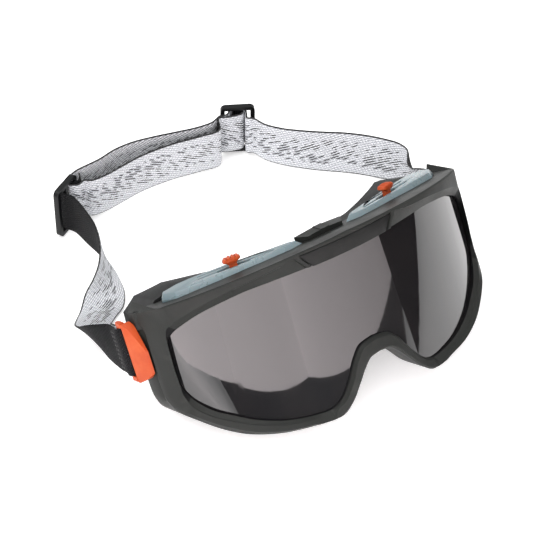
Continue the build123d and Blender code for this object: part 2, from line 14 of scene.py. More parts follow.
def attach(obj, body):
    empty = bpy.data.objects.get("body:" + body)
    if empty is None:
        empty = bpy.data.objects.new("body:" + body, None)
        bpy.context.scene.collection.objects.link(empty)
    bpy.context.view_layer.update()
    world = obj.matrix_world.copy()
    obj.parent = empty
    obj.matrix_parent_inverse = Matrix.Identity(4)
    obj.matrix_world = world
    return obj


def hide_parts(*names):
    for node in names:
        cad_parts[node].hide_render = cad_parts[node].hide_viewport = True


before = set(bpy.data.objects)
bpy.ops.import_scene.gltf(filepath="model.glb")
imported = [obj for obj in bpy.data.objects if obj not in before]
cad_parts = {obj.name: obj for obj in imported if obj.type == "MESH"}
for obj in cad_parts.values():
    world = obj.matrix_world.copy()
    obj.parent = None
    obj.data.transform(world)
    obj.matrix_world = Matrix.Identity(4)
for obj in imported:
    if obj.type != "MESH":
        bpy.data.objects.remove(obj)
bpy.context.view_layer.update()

MM = 0.001
LEAN = math.radians(28.6)
FOOT = Vector((-1.15, 17.07, -10.0))        # where the lens axis's own zero height lies
BACK = Vector((0, math.cos(LEAN), -math.sin(LEAN)))
AXIS = Vector((0, math.sin(LEAN), math.cos(LEAN)))
FRAME_R = 109.0                             # the rim's front band, round the lens axis


def on_goggles(x, y, z):
    """A point given in the goggles' own axes, in millimetres."""
    return (FOOT + Vector((1, 0, 0)) * x + BACK * y + AXIS * z) * MM


def on_table(x, y, z):
    """A point in plan from the foot of the lens axis, with its height over the table."""
    return Vector((FOOT.x + x, FOOT.y + y, z)) * MM


def add_object(name, data):
    """A new object with that data, in the scene."""
    obj = bpy.data.objects.new(name, data)
    bpy.context.scene.collection.objects.link(obj)
    return obj


# ---------------------------------------------------------------- camera
FOCAL, SENSOR = 148.6, 36.0                 # in millimetres, as on a camera
CAMERA_SPOT = Vector((-401.11, -594.27, 675.78))        # from the foot of the lens axis
CAMERA_AHEAD = Vector((0.41930946, 0.59979462, -0.68148807))
CAMERA_RIGHT = Vector((0.81958277, -0.57296081, 0))


def add_camera():
    data = bpy.data.cameras.new("camera")
    data.lens, data.sensor_width = FOCAL, SENSOR
    data.clip_start, data.clip_end = 0.05, 20
    cam = add_object("camera", data)
    cam.location = (FOOT + CAMERA_SPOT) * MM
    up = CAMERA_RIGHT.cross(CAMERA_AHEAD)
    cam.rotation_mode = "QUATERNION"
    cam.rotation_quaternion = Matrix((CAMERA_RIGHT, up, -CAMERA_AHEAD)).transposed().to_quaternion()
    bpy.context.scene.camera = cam


add_camera()


# ---------------------------------------------------------------- node helpers
class Net:
    """A material's node tree, with short ways to add nodes.

    A value given to a socket is a constant, or the output of another node. Sockets of the shader are
    named with _ for a space. Sockets of other nodes are named, or numbered as i0, i1, i2.
    """

    def __init__(self, name, colour, roughness, **sockets):
        self.mat = bpy.data.materials.new(name)
        self.mat.use_nodes = True
        self.tree = self.mat.node_tree
        self.bsdf = self.tree.nodes["Principled BSDF"]
        self.put("Base Color", (*colour, 1))
        self.put("Roughness", roughness)
        for socket, value in sockets.items():
            self.put(socket.replace("_", " "), value)

    def feed(self, socket, value):
        if isinstance(value, bpy.types.NodeSocket):
            self.tree.links.new(value, socket)
        else:
            socket.default_value = value

    def put(self, name, value):
        self.feed(self.bsdf.inputs[name], value)

    def add(self, kind, out=0, settings=None, **inputs):
        """A node with those settings and inputs; gives its output."""
        node = self.tree.nodes.new(kind)
        for key, value in (settings or {}).items():
            setattr(node, key, value)
        for key, value in inputs.items():
            numbered = key[0] == "i" and key[1:].isdigit()
            self.feed(node.inputs[int(key[1:]) if numbered else key], value)
        return node.outputs[out]

    def math(self, operation, a, b=0.0, c=0.0):
        return self.add("ShaderNodeMath", 0, {"operation": operation}, i0=a, i1=b, i2=c)

    def noise(self, scale, detail=3.0, rough=0.5, vector=None, stretch=None):
        vector = vector or self.add("ShaderNodeTexCoord", "Object")
        if stretch:
            vector = self.add("ShaderNodeVectorMath", 0, {"operation": "MULTIPLY"}, i0=vector, i1=stretch)
        return self.add("ShaderNodeTexNoise", 0, Vector=vector, Scale=scale, Detail=detail, Roughness=rough)

    def ramp(self, value, low, high, start=0.0, end=1.0):
        return self.add("ShaderNodeMapRange", 0, {"clamp": True}, Value=value,
                        **{"From Min": low, "From Max": high, "To Min": start, "To Max": end})

    def mix(self, factor, one, other):
        """One colour at factor 0, the other at 1."""
        node = self.tree.nodes.new("ShaderNodeMix")
        node.data_type = "RGBA"
        self.feed(node.inputs[0], factor)
        for index, colour in ((6, one), (7, other)):
            opaque = colour if isinstance(colour, bpy.types.NodeSocket) else (*colour, 1)
            self.feed(node.inputs[index], opaque)
        return node.outputs[2]

    def bump(self, height, strength, distance):
        self.put("Normal", self.add("ShaderNodeBump", 0, Height=height, Strength=strength,
                                    Distance=distance))


# moulded plastic: sizes of its cloudy shade, rubbed patches and uneven gloss, and its grain's depth
CLOUD_SCALE, RUB_SCALE, GLOSS_SCALE, GRAIN_DEPTH = 38.0, 160.0, 90.0, 0.00012
EDGE_START, EDGE_END = 0.52, 0.6            # pointiness at which rubbing starts and is full


def moulded(name, colour, roughness, grain=0.3, grain_size=2200.0, wear=0.25, worn=None, **sockets):
    """Injection-moulded plastic: fine spark texture, uneven gloss, and lighter rubbed edges."""
    net = Net(name, colour, roughness, **sockets)
    worn = worn or tuple(min(1.0, c * 1.7 + 0.03) for c in colour)
    shade = net.mix(net.ramp(net.noise(CLOUD_SCALE, 4.0, 0.6), 0.3, 0.75), tuple(c * 0.88 for c in colour),
                    tuple(min(1.0, c * 1.12) for c in colour))
    edge = net.ramp(net.add("ShaderNodeNewGeometry", "Pointiness"), EDGE_START, EDGE_END)
    patches = net.ramp(net.noise(RUB_SCALE, 5.0, 0.65), 0.4, 0.7)
    rubbed = net.math("MULTIPLY", net.math("MULTIPLY", edge, patches), wear)
    net.put("Base Color", net.mix(rubbed, shade, worn))
    net.put("Roughness", net.ramp(net.noise(GLOSS_SCALE, 4.0), 0.25, 0.8, roughness - 0.06, roughness + 0.08))
    net.bump(net.noise(grain_size, 2.0), grain, GRAIN_DEPTH)
    return net


RIM = moulded("rim_plastic", (0.0135, 0.0145, 0.0132), 0.5, grain=0.5, worn=(0.05, 0.052, 0.048),
              Specular_IOR_Level=0.2)
# a darker copy of the rim plastic: painted shade on the window wall, and on the inner facet at the temples
RIM_SHADE_PAINT = moulded("rim_painted_shade", (0.003, 0.003, 0.0034), 0.6, grain=0.2, wear=0.0, Specular_IOR_Level=0.15)
SKIRT = moulded("skirt_rubber", (0.006, 0.0063, 0.0063), 0.62, grain=0.35, grain_size=1500.0, wear=0.1,
                Specular_IOR_Level=0.25)
BLACK = moulded("vent_black", (0.01, 0.0105, 0.011), 0.55, wear=0.15, Specular_IOR_Level=0.3)
PLATE = moulded("brow_blank", (0.006, 0.0063, 0.006), 0.45, grain=0.25, wear=0.5, Specular_IOR_Level=0.2)
ORANGE = moulded("orange_plastic", (0.4, 0.056, 0.012), 0.45, grain=0.35, wear=0.25,
                 worn=(0.6, 0.16, 0.05), Subsurface_Weight=0.1, Subsurface_Scale=0.002,
                 Specular_IOR_Level=0.25)
PIN = moulded("pin_plastic", (0.012, 0.012, 0.012), 0.45, wear=0.3, Specular_IOR_Level=0.3)
SLIDER = moulded("slider_plastic", (0.004, 0.0043, 0.0048), 0.42, grain=0.3, wear=0.35,
                 Specular_IOR_Level=0.2)
SMOKE = moulded("vent_smoke", (0.17, 0.225, 0.245), 0.28, grain=0.05, wear=0.08, worn=(0.4, 0.48, 0.52),
                Subsurface_Weight=0.12, Subsurface_Scale=0.002, Transmission_Weight=0.12, IOR=1.49)


def lens_material():
    """Polished dark tint: smooth, with faint moulding streaks and hairline rub marks in its gloss."""
    net = Net("lens_tint", (0.006, 0.006, 0.0065), 0.03, IOR=1.62, Coat_Weight=0.35, Coat_Roughness=0.02)
    smear = net.noise(30.0, 4.0, 0.6, stretch=(1.0, 1.0, 0.25))
    hair = net.noise(700.0, 2.0, 0.5, stretch=(1.0, 0.06, 0.2))
    film = net.math("MULTIPLY", net.ramp(smear, 0.45, 0.8), 0.05)
    net.put("Roughness", net.math("ADD", film, net.ramp(hair, 0.62, 0.8, 0.02, 0.09)))
    net.put("Base Color", net.mix(net.ramp(smear, 0.3, 0.8), (0.005, 0.005, 0.006), (0.011, 0.0095, 0.0095)))
    return net


LENS = lens_material()


WEAVE_DEPTH = 0.0004
FLECK_SPAN, FLECK_RUN, FLECK_ROW = 6.4, 1.9, 1.75       # half width of the flecked band, and a fleck's cell
EDGE_CORD = (9.9, 10.2)                     # where the inside's white gives way to the black edge


class Weave(Net):
    """Woven elastic in the strap's own run and width, both in millimetres (UV times 1000)."""

    def __init__(self, name, colour, **sockets):
        super().__init__(name, colour, 0.85, **sockets)
        uv = self.add("ShaderNodeUVMap")
        self.mm = self.add("ShaderNodeVectorMath", 0, {"operation": "SCALE"}, i0=uv, Scale=1000.0)
        wander = self.math("MULTIPLY", self.math("SUBTRACT", self.noise(0.35, 2.0, vector=self.mm), 0.5), 0.9)
        split = self.tree.nodes.new("ShaderNodeSeparateXYZ")
        self.feed(split.inputs[0], self.mm)
        self.run = self.math("ADD", split.outputs[0], wander)
        self.width = split.outputs[1]

    def thread(self, along, across, pitch):
        """A wave over the webbing, slanted by its shares along and across."""
        return self.math("SINE", self.math("ADD", self.math("MULTIPLY", self.run, along * math.tau / pitch),
                                           self.math("MULTIPLY", self.width, across * math.tau / pitch)))


def webbing_inside():
    """White twill with black binding threads that show as flecks along the middle, and black edges."""
    net = Weave("webbing_inside", (0.72, 0.73, 0.76), Sheen_Weight=0.2, Specular_IOR_Level=0.5)
    twill, cross = net.thread(0.42, 1.0, 1.25), net.thread(1.0, -0.62, 1.7)
    shade = net.mix(net.ramp(twill, -0.95, 0.0), (0.42, 0.43, 0.47), (0.86, 0.87, 0.9))
    shade = net.mix(net.math("MULTIPLY", net.ramp(cross, 0.2, 0.9), 0.6), shade, (0.46, 0.47, 0.52))
    slanted = net.math("ADD", net.run, net.math("MULTIPLY", net.width, 0.8))
    cell = net.add("ShaderNodeCombineXYZ", i0=net.math("FLOOR", net.math("DIVIDE", slanted, FLECK_RUN)),
                   i1=net.math("FLOOR", net.math("DIVIDE", net.width, FLECK_ROW)))
    chance = net.add("ShaderNodeTexWhiteNoise", 0, {"noise_dimensions": "2D"}, Vector=cell)
    off_middle = net.math("ABSOLUTE", net.width)
    fleck = net.math("MULTIPLY", net.math("GREATER_THAN", chance, 0.6),
                     net.math("LESS_THAN", off_middle, FLECK_SPAN))
    fleck = net.math("MULTIPLY", fleck, net.ramp(net.thread(0.6, 1.3, 1.75), 0.0, 0.35))
    shade = net.mix(fleck, shade, (0.015, 0.015, 0.017))
    shade = net.mix(net.ramp(off_middle, *EDGE_CORD), shade, (0.008, 0.008, 0.009))
    net.put("Base Color", shade)
    net.bump(net.math("ADD", net.math("MULTIPLY", twill, 0.6), net.math("MULTIPLY", cross, 0.4)),
             0.9, WEAVE_DEPTH)
    return net


def webbing_outside():
    """Black ribbed elastic with a little lint."""
    net = Weave("webbing_outside", (0.008, 0.008, 0.009), Specular_IOR_Level=0.2)
    ribs = net.math("MULTIPLY", net.thread(0.0, 1.0, 1.1), net.thread(1.0, 0.0, 0.9))
    twill = net.thread(0.7, 1.0, 1.3)
    height = net.math("ADD", net.math("MULTIPLY", ribs, 0.6), net.math("MULTIPLY", twill, 0.4))
    lint = net.ramp(net.noise(3.0, 4.0, 0.7, vector=net.mm), 0.62, 0.8)
    shade = net.mix(net.ramp(height, -0.6, 0.8), (0.002, 0.002, 0.0025), (0.012, 0.0125, 0.014))
    net.put("Base Color", net.mix(net.math("MULTIPLY", lint, 0.3), shade, (0.03, 0.03, 0.034)))
    net.bump(height, 0.9, WEAVE_DEPTH)
    return net


WEB_IN, WEB_OUT = webbing_inside(), webbing_outside()
THREAD = moulded("thread", (0.012, 0.012, 0.013), 0.75, grain=0.9, grain_size=5000.0, wear=0.0,
                 Sheen_Weight=0.3)

CAD_FINISH = {
    "lens": LENS, "brow_plate": PLATE, "face_skirt": SKIRT, "frame": RIM,
    "vent_cover": SMOKE, "vent_grille": BLACK, "vent_shutter": ORANGE, "vent_knob": ORANGE,
    "strap_clip": ORANGE, "clip_pivot_pin": PIN, "strap_slider": SLIDER, "strap_stitching": THREAD,
    "strap_left": WEB_OUT, "strap_right": WEB_OUT,
}


def finish_cad_nodes():
    for name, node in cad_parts.items():
        kind = max((k for k in CAD_FINISH if name.startswith(k)), key=len)
        node.data.materials.clear()
        node.data.materials.append(CAD_FINISH[kind].mat)


finish_cad_nodes()


# ---------------------------------------------------------------- mesh helpers
MERGE_GAP = 0.004 * MM


def new_piece(name, verts, faces, materials, body, face_slots=None, uvs=None, smooth=30.0):
    """A mesh piece on a CAD body. uvs is one (u, v) per vertex; edges over smooth degrees stay sharp."""
    mesh = bpy.data.meshes.new(name)
    mesh.from_pydata([tuple(v) for v in verts], [], faces)
    for net in materials:
        mesh.materials.append(net.mat)
    if face_slots is not None:
        mesh.polygons.foreach_set("material_index", face_slots)
    if uvs is not None:
        layer = mesh.uv_layers.new(name="run")
        corners = np.zeros(len(mesh.loops), np.int32)
        mesh.loops.foreach_get("vertex_index", corners)
        layer.data.foreach_set("uv", np.asarray(uvs, np.float32)[corners].ravel())
    mesh.validate()
    obj = add_object(name, mesh)
    face_outwards(obj)
    mesh.shade_smooth()
    mesh.set_sharp_from_angle(angle=math.radians(smooth))
    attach(obj, body)
    return obj


def face_outwards(obj):
    work = bmesh.new()
    work.from_mesh(obj.data)
    bmesh.ops.recalc_face_normals(work, faces=work.faces)
    work.to_mesh(obj.data)
    work.free()


def merge(obj, flat_angle=None):
    """Joins doubled vertices and, given an angle in degrees, facets that lie that flat together."""
    work = bmesh.new()
    work.from_mesh(obj.data)
    bmesh.ops.remove_doubles(work, verts=work.verts, dist=MERGE_GAP)
    if flat_angle:
        bmesh.ops.dissolve_limit(work, angle_limit=math.radians(flat_angle), verts=work.verts,
                                 edges=work.edges)
    work.to_mesh(obj.data)
    work.free()


def cad_copy(node, name, flat_angle=None):
    """A copy of a CAD node's mesh, merged, without the normals it came with."""
    obj = add_object(name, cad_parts[node].data.copy())
    merge(obj, flat_angle)
    if obj.data.has_custom_normals:
        obj.data.attributes.remove(obj.data.attributes["custom_normal"])
    return obj


def dress(obj, material, body, smooth):
    obj.data.materials.clear()
    obj.data.materials.append(material.mat)
    obj.data.shade_smooth()
    obj.data.set_sharp_from_angle(angle=math.radians(smooth))
    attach(obj, body)


def apply_modifiers(obj):
    bpy.context.view_layer.update()
    made = bpy.data.meshes.new_from_object(obj.evaluated_get(bpy.context.evaluated_depsgraph_get()))
    obj.modifiers.clear()
    obj.data = made


def add_bevel(obj, width, segments=2, angle=28.0):
    """Rounds edges sharper than angle degrees, over a width in millimetres."""
    bevel = obj.modifiers.new("bevel", "BEVEL")
    bevel.width, bevel.segments = width * MM, segments
    bevel.limit_method, bevel.angle_limit = "ANGLE", math.radians(angle)


def softened_copy(node, name, material, body, width, segments=2):
    """A CAD node's shape with its facets merged and its edges rounded, standing for that node."""
    obj = cad_copy(node, name, 0.6)
    add_bevel(obj, width, segments)
    apply_modifiers(obj)
    dress(obj, material, body, 32)
    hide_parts(node)


def hermite(s, start, leave, end, arrive):
    """The cubic from start to end at s from 0 to 1, with its slopes at both ends."""
    return ((2 * s**3 - 3 * s**2 + 1) * start + (s**3 - 2 * s**2 + s) * leave
            + (-2 * s**3 + 3 * s**2) * end + (s**3 - s**2) * arrive)


def eased(ts, values, t):
    """Smooth interpolation through values at ts that never overshoots them."""
    ts, values = np.asarray(ts, float), np.asarray(values, float)
    steps = np.diff(ts)
    slopes = np.diff(values, axis=0) / steps[:, None]
    tangents = np.zeros_like(values)
    same = slopes[1:] * slopes[:-1] > 0
    wa = (2 * steps[1:] + steps[:-1])[:, None]
    wb = (steps[1:] + 2 * steps[:-1])[:, None]
    # where the slope turns, the tangent is flat
    safe = np.where(same, slopes[:-1], 1.0), np.where(same, slopes[1:], 1.0)
    tangents[1:-1] = np.where(same, (wa + wb) / (wa / safe[0] + wb / safe[1]), 0.0)
    tangents[0], tangents[-1] = slopes[0], slopes[-1]
    t = np.asarray(t, float)
    i = np.clip(np.searchsorted(ts, t, "right") - 1, 0, len(ts) - 2)
    h = steps[i][:, None]
    s = ((t - ts[i]) / steps[i])[:, None]
    return hermite(s, values[i], h * tangents[i], values[i + 1], h * tangents[i + 1])


def flowing(points, step):
    """Points every step or so along a smooth curve through the given ones (arrays of any width)."""
    pts = np.asarray(points, float)
    gaps = np.maximum(np.linalg.norm(np.diff(pts, axis=0), axis=1), 1e-9)
    ts = np.concatenate([[0], np.cumsum(gaps**0.5)])
    out = []
    for i in range(len(pts) - 1):
        p1, p2 = pts[i], pts[i + 1]
        p0 = pts[i - 1] if i else 2 * p1 - p2
        p3 = pts[i + 2] if i + 2 < len(pts) else 2 * p2 - p1
        d1 = ts[i] - ts[i - 1] if i else ts[1] - ts[0]
        d2 = ts[i + 1] - ts[i]
        d3 = ts[i + 2] - ts[i + 1] if i + 2 < len(pts) else d2
        m1 = ((p1 - p0) / d1 - (p2 - p0) / (d1 + d2) + (p2 - p1) / d2) * d2
        m2 = ((p2 - p1) / d2 - (p3 - p1) / (d2 + d3) + (p3 - p2) / d3) * d2
        count = max(2, int(round(gaps[i] / step)))
        for k in range(count):
            out.append(hermite(k / count, p1, m1, p2, m2))
    out.append(pts[-1])
    return np.array(out)


# ---------------------------------------------------------------- the rim, as one faceted ring
ROOF_SLOPE = math.tan(math.radians(10.5))   # the roof rises towards the front
ROOF_FOOT, ROOF_FALL = 19.2, 0.0166         # its height over the lens axis, and its fall to the sides
CREASE_DROP, OUTER_STEP = 0.55, 0.8         # the crease under the roof's edge, and that edge behind it


def front_y(x, radius):
    """The y of the front of a cylinder round the lens axis, at x."""
    return -math.sqrt(max(0.0, radius**2 - x**2))


def roof(x, radius):
    """Height of the rim's roof over a point of the lens-axis cylinder of that radius."""
    return ROOF_FOOT - ROOF_FALL * abs(x) - ROOF_SLOPE * front_y(x, radius)


def top_row(window, radius, facet, band, crease_x, outer_x=None):
    """A row of the brow, whose crease and outer edge follow the roof."""
    outer_x = crease_x if outer_x is None else outer_x
    outer_r = FRAME_R - OUTER_STEP
    return [(*window, radius), facet, band, (crease_x, roof(crease_x, FRAME_R) - CREASE_DROP, FRAME_R),
            (outer_x, roof(outer_x, outer_r), outer_r)]


# Each row crosses the rim: lens lip, end of the inner facet, start of the front band, crease, and
# outer edge, each (x, height, radius). Rows run from the middle of the brow to the nose bridge.
RIM_ROWS = [
    top_row((0, 30.4), 105.7, (0, 37.0, 107.35), (0, 37.45, 109.0), 0),
    top_row((17.9, 30.4), 105.7, (22.6, 37.0, 107.35), (22.8, 37.45, 109.0), 23.0),
    top_row((18.3, 30.4), 105.7, (19.2, 31.3, 108.9), (22.6, 35.8, 109.1), 23.9),
    top_row((19.7, 30.4), 105.7, (20.6, 31.3, 108.9), (24.2, 35.8, 109.1), 25.2),
    top_row((20.3, 30.4), 105.7, (24.8, 36.4, 107.6), (25.1, 36.9, 109.0), 26.0),
    top_row((30, 30.3), 105.7, (31.5, 35.2, 107.9), (31.7, 35.7, 109.0), 32.0),
    top_row((43, 29.8), 105.7, (44.4, 33.6, 108.3), (44.6, 33.9, 109.0), 45.5),
    top_row((54, 28.0), 105.8, (56.0, 31.2, 108.6), (56.2, 31.5, 109.0), 57.0),
    top_row((62, 25.9), 106.0, (64.6, 28.7, 108.8), (64.8, 28.9, 109.0), 66.0),
    top_row((68.5, 23.0), 106.2, (71.6, 25.6, 108.9), (71.8, 25.8, 109.0), 73.4, 74.6),
    [(72.6, 20.2, 106.2), (75.0, 22.6, 108.1), (75.2, 22.8, 108.0),
     (76.6, 28.8, 105.5), (79.2, 28.0, 100.0)],
    [(74.6, 17.0, 105.9), (75.6, 18.4, 107.9), (75.9, 18.5, 107.8),
     (77.6, 22.6, 105.5), (79.3, 21.8, 103.6)],
    [(75.6, 12.5, 105.7), (75.8, 12.9, 107.8), (76.1, 13.0, 107.6),
     (78.6, 15.0, 105.6), (79.8, 14.4, 104.6)],
    [(75.8, 6.0, 105.7), (75.9, 6.1, 107.6), (76.2, 6.2, 107.4),
     (79.2, 7.0, 105.8), (79.9, 6.8, 104.6)],
    [(75.4, 0.0, 105.7), (75.7, 0.0, 107.3), (76.0, -0.1, 107.1),
     (79.4, -0.6, 105.9), (80.0, -0.4, 104.5)],
    [(74.4, -4.6, 105.7), (75.6, -5.4, 107.2), (75.8, -5.5, 107.1),
     (79.0, -7.0, 106.0), (79.8, -7.2, 104.4)],
    [(72.5, -9.5, 105.8), (74.4, -11.0, 107.6), (74.6, -11.1, 107.8),
     (76.9, -12.8, 107.2), (78.2, -13.4, 105.6)],
    [(67.5, -16.0, 106.3), (69.2, -17.5, 107.6), (69.4, -17.6, 108.0),
     (71.4, -18.9, 109.0), (72.8, -19.3, 107.4)],
    [(61.0, -20.4, 106.2), (62.4, -22.0, 107.4), (62.6, -22.2, 107.8),
     (64.2, -24.2, 109.0), (65.4, -25.5, 107.0)],
    [(54.0, -24.6, 106.1), (55.0, -26.0, 107.4), (55.1, -26.2, 107.8),
     (56.6, -28.4, 109.0), (57.8, -29.7, 107.0)],
    [(42.0, -28.8, 106.0), (42.6, -29.9, 107.4), (42.7, -30.1, 107.8),
     (44.0, -31.9, 109.0), (44.8, -33.1, 107.0)],
    [(33.5, -30.1, 106.0), (34.0, -31.1, 107.4), (34.1, -31.3, 107.8),
     (35.2, -32.8, 109.0), (35.8, -34.0, 107.0)],
    [(29.0, -30.4, 106.0), (30.2, -32.4, 108.2), (30.4, -32.7, 108.4),
     (30.9, -33.7, 108.8), (31.0, -34.3, 107.4)],
    [(26.4, -30.3, 106.0), (27.0, -33.4, 108.8), (27.1, -33.6, 108.9),
     (27.2, -33.8, 108.9), (27.2, -34.2, 108.0)],
    [(25.4, -30.0, 106.0), (25.2, -30.6, 107.4), (25.1, -30.9, 108.0),
     (24.3, -33.3, 109.0), (24.0, -34.0, 108.0)],
    [(21.5, -28.0, 106.0), (21.1, -28.6, 107.4), (21.0, -28.8, 108.0),
     (19.0, -30.0, 109.0), (18.3, -30.5, 108.0)],
    [(16.0, -21.5, 106.0), (15.3, -21.9, 107.6), (15.1, -22.0, 108.0),
     (13.0, -23.0, 109.0), (12.3, -23.3, 108.0)],
    [(11.0, -13.5, 106.0), (10.6, -14.2, 107.6), (10.5, -14.4, 108.0),
     (8.6, -17.2, 109.0), (8.0, -18.0, 108.0)],
    [(6.0, -9.0, 106.0), (5.8, -9.8, 107.6), (5.8, -10.0, 108.0),
     (4.8, -14.2, 109.0), (4.5, -15.1, 108.0)],
    [(0, -8.0, 106.0), (0, -8.8, 107.6), (0, -9.0, 108.0),
     (0, -13.5, 109.0), (0, -14.4, 108.0)],
]
# radii of the backs of the lip, the roof and the ring, and the farthest back that the ring goes
LIP_BACK_R, ROOF_BACK_R, RIM_BACK_R, RIM_REAR_Y = 102.3, 101.0, 93.0, -56.0
ROOF_ROWS = 10                  # rows whose roof carries on into the shelf behind
SIDE_ROWS = (9.4, 16.0)         # rows at the temples, where the inner facet, like the window wall all round, is painted darker as shade
RIM_STEP = 1.3                  # spacing of the ring's sections round the rim
LIP_LAP, LIP_RISE = 0.4, 0.1    # how far the brow's lip stays ahead of and over its own back
OUTER_SHARE = 0.55              # where the middle of the ring's back lies, from lip to outer edge
# a shallow groove down the side of the temple: its shares of the way back, and its dents
GROOVE, GROOVE_DROP = ((0.22, -1.0), (0.48, 0.1)), 0.6
FLOOR_GAP = 0.0001              # the ring stays this much over the floor, in metres


def rim_rear(lip, outer, on_roof):
    """The three points that close a section behind, from the outer edge to the lip."""
    x, z = outer[:2]
    if on_roof:
        y = front_y(x, ROOF_BACK_R)
        return [(x, roof(x, ROOF_BACK_R), y), (x, (z + lip[1]) / 2, y),
                (lip[0], lip[1] + LIP_RISE, front_y(lip[0], ROOF_BACK_R))]
    between = [lip[k] * (1 - OUTER_SHARE) + outer[k] * OUTER_SHARE for k in (0, 1)]
    return [(px, pz, min(RIM_REAR_Y, front_y(px, RIM_BACK_R))) for px, pz in ((x, z), between, lip[:2])]


def rim_section(row, side, on_roof):
    """One closed section of the rim as (x, height, y), starting at the lip's own back."""
    line = [(x, z, front_y(x, r)) for x, z, r in row]
    lip, outer = row[0], line[4]
    lip_y = front_y(lip[0], LIP_BACK_R)
    if on_roof:
        lip_y = min(lip_y, front_y(lip[0], ROOF_BACK_R) - LIP_LAP)
    rear = rim_rear(lip, outer, on_roof)
    for share, dent in GROOVE:
        x, z, y = (o + (b - o) * share for o, b in zip(outer, rear[0]))
        line.append((x + dent * side, z - GROOVE_DROP * side * abs(dent), y))
    return [(lip[0], lip[1], lip_y)] + line + rear


def rim_sections():
    """Sections of the right half of the rim, and how far each is part of the temple, from 0 to 1."""
    rows = np.array(RIM_ROWS, float)                       # rows x 5 x 3
    middle = rows[:, (0, 4), :2].mean(axis=1)
    ts = np.concatenate([[0], np.cumsum(np.linalg.norm(np.diff(middle, axis=0), axis=1))])
    t = []
    for a, b in zip(ts[:-1], ts[1:]):
        count = max(2, int(math.ceil((b - a) / RIM_STEP)))
        t += [a + (b - a) * k / count for k in range(count)]
    t = np.array(t + [ts[-1]])
    half = eased(ts, rows.reshape(len(rows), 15), t).reshape(len(t), 5, 3)
    sides = [min(1.0, max(0.0, min(index - SIDE_ROWS[0], SIDE_ROWS[1] - index)))
             for index in np.interp(t, ts, range(len(ts)))]
    return [rim_section(row, side, at <= ts[ROOF_ROWS - 1]) for row, at, side in zip(half, t, sides)], sides


def build_rim():
    sections, sides = rim_sections()
    loop = sections + [[(-x, z, y) for x, z, y in s] for s in reversed(sections[1:-1])]
    # sections whose inner facet is painted darker, as painted shade
    shade_painted = [side > 0 for side in sides + sides[-2:0:-1]]
    verts, faces, slots = [], [], []
    for section in loop:
        for x, z, y in section:
            p = on_goggles(x, y, z)
            p.z = max(p.z, FLOOR_GAP)
            verts.append(p)
    n, count = len(loop), len(loop[0])
    for i in range(n):
        j = (i + 1) % n
        for k in range(count):
            m = (k + 1) % count
            faces.append((i * count + k, j * count + k, j * count + m, i * count + m))
            # slot 1 is painted shade: the darker rim plastic on the window wall all round, and on the inner
            # facet at the temples
            slots.append(1 if k == 0 or (k == 1 and shade_painted[i] and shade_painted[j]) else 0)
    rim = new_piece("rim_ring", verts, faces, (RIM, RIM_SHADE_PAINT), "goggles", slots, smooth=24.0)
    add_bevel(rim, 0.28, 2, 24.0)
    return rim


SHELF_GAP = 0.02                            # the shelf's overlap with the ring, and its step down from it
SHELF_LOW, SHELF_HIGH, SHELF_SIDES = 22.0, 52.0, 360


def shelf_room():
    """A cylinder round the lens axis that holds the part of the CAD frame inside the ring."""
    radius, n = ROOF_BACK_R + SHELF_GAP, SHELF_SIDES
    turns = [math.tau * k / n for k in range(n)]
    verts = [on_goggles(radius * math.sin(a), -radius * math.cos(a), z)
             for z in (SHELF_LOW, SHELF_HIGH) for a in turns]
    faces = [(k, (k + 1) % n, n + (k + 1) % n, n + k) for k in range(n)]
    faces += [tuple(reversed(range(n))), tuple(range(n, 2 * n))]
    mesh = bpy.data.meshes.new("shelf_room")
    mesh.from_pydata([tuple(v) for v in verts], [], faces)
    room = add_object("shelf_room", mesh)
    face_outwards(room)
    return room


def build_shelf():
    """The roof behind the ring, with the vents' pockets: the CAD frame's own shape inside the ring."""
    obj = cad_copy("frame", "rim_shelf")
    room = shelf_room()
    cut = obj.modifiers.new("cut", "BOOLEAN")
    cut.operation, cut.object, cut.solver = "INTERSECT", room, "EXACT"
    apply_modifiers(obj)
    bpy.data.objects.remove(room)
    merge(obj, 0.5)
    obj.data.transform(Matrix.Translation(AXIS * (-SHELF_GAP * MM)))
    dress(obj, RIM, "goggles", 24)


rim_ring = build_rim()
build_shelf()
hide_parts("frame")


# ---------------------------------------------------------------- webbing, as the CAD straps run
WEB_W, WEB_T, WEB_Z = 21.5, 1.3, 2.3        # width, thickness, and lower edge's height over the table
WEB_STEP, WEB_SKIN = 1.1, 0.04              # spacing of its sections, and how far each face is drawn in
WEB_COLUMNS, WEB_SQUARE = 12, 10            # columns across, and how square its edges are
CLIP_X, BAR_Y, CLIP_WEB_LOW = 84.2, -54.1, 2.5          # the clips' bars, and the webbing's foot on them
LEFT_SLIDER, LEFT_TURN = (-50.0, 64.6), math.radians(27.8)
BACK_SLIDER, BACK_TURN = (43.8, 65.6), math.radians(-29.9)


def at_slider(centre, turn, along, away):
    """A plan point near a slider, from its middle along its length and away across it."""
    c, s = math.cos(turn), math.sin(turn)
    return (centre[0] + along * c - away * s, centre[1] + along * s + away * c)


def upright(points):
    """Stations of webbing that stands on edge along plan points."""
    return [(on_table(x, y, WEB_Z), on_table(x, y, WEB_Z + WEB_W)) for x, y in points]


def edges(rows):
    """Stations given by their lower and upper edges."""
    return [(on_table(*low), on_table(*high)) for low, high in rows]


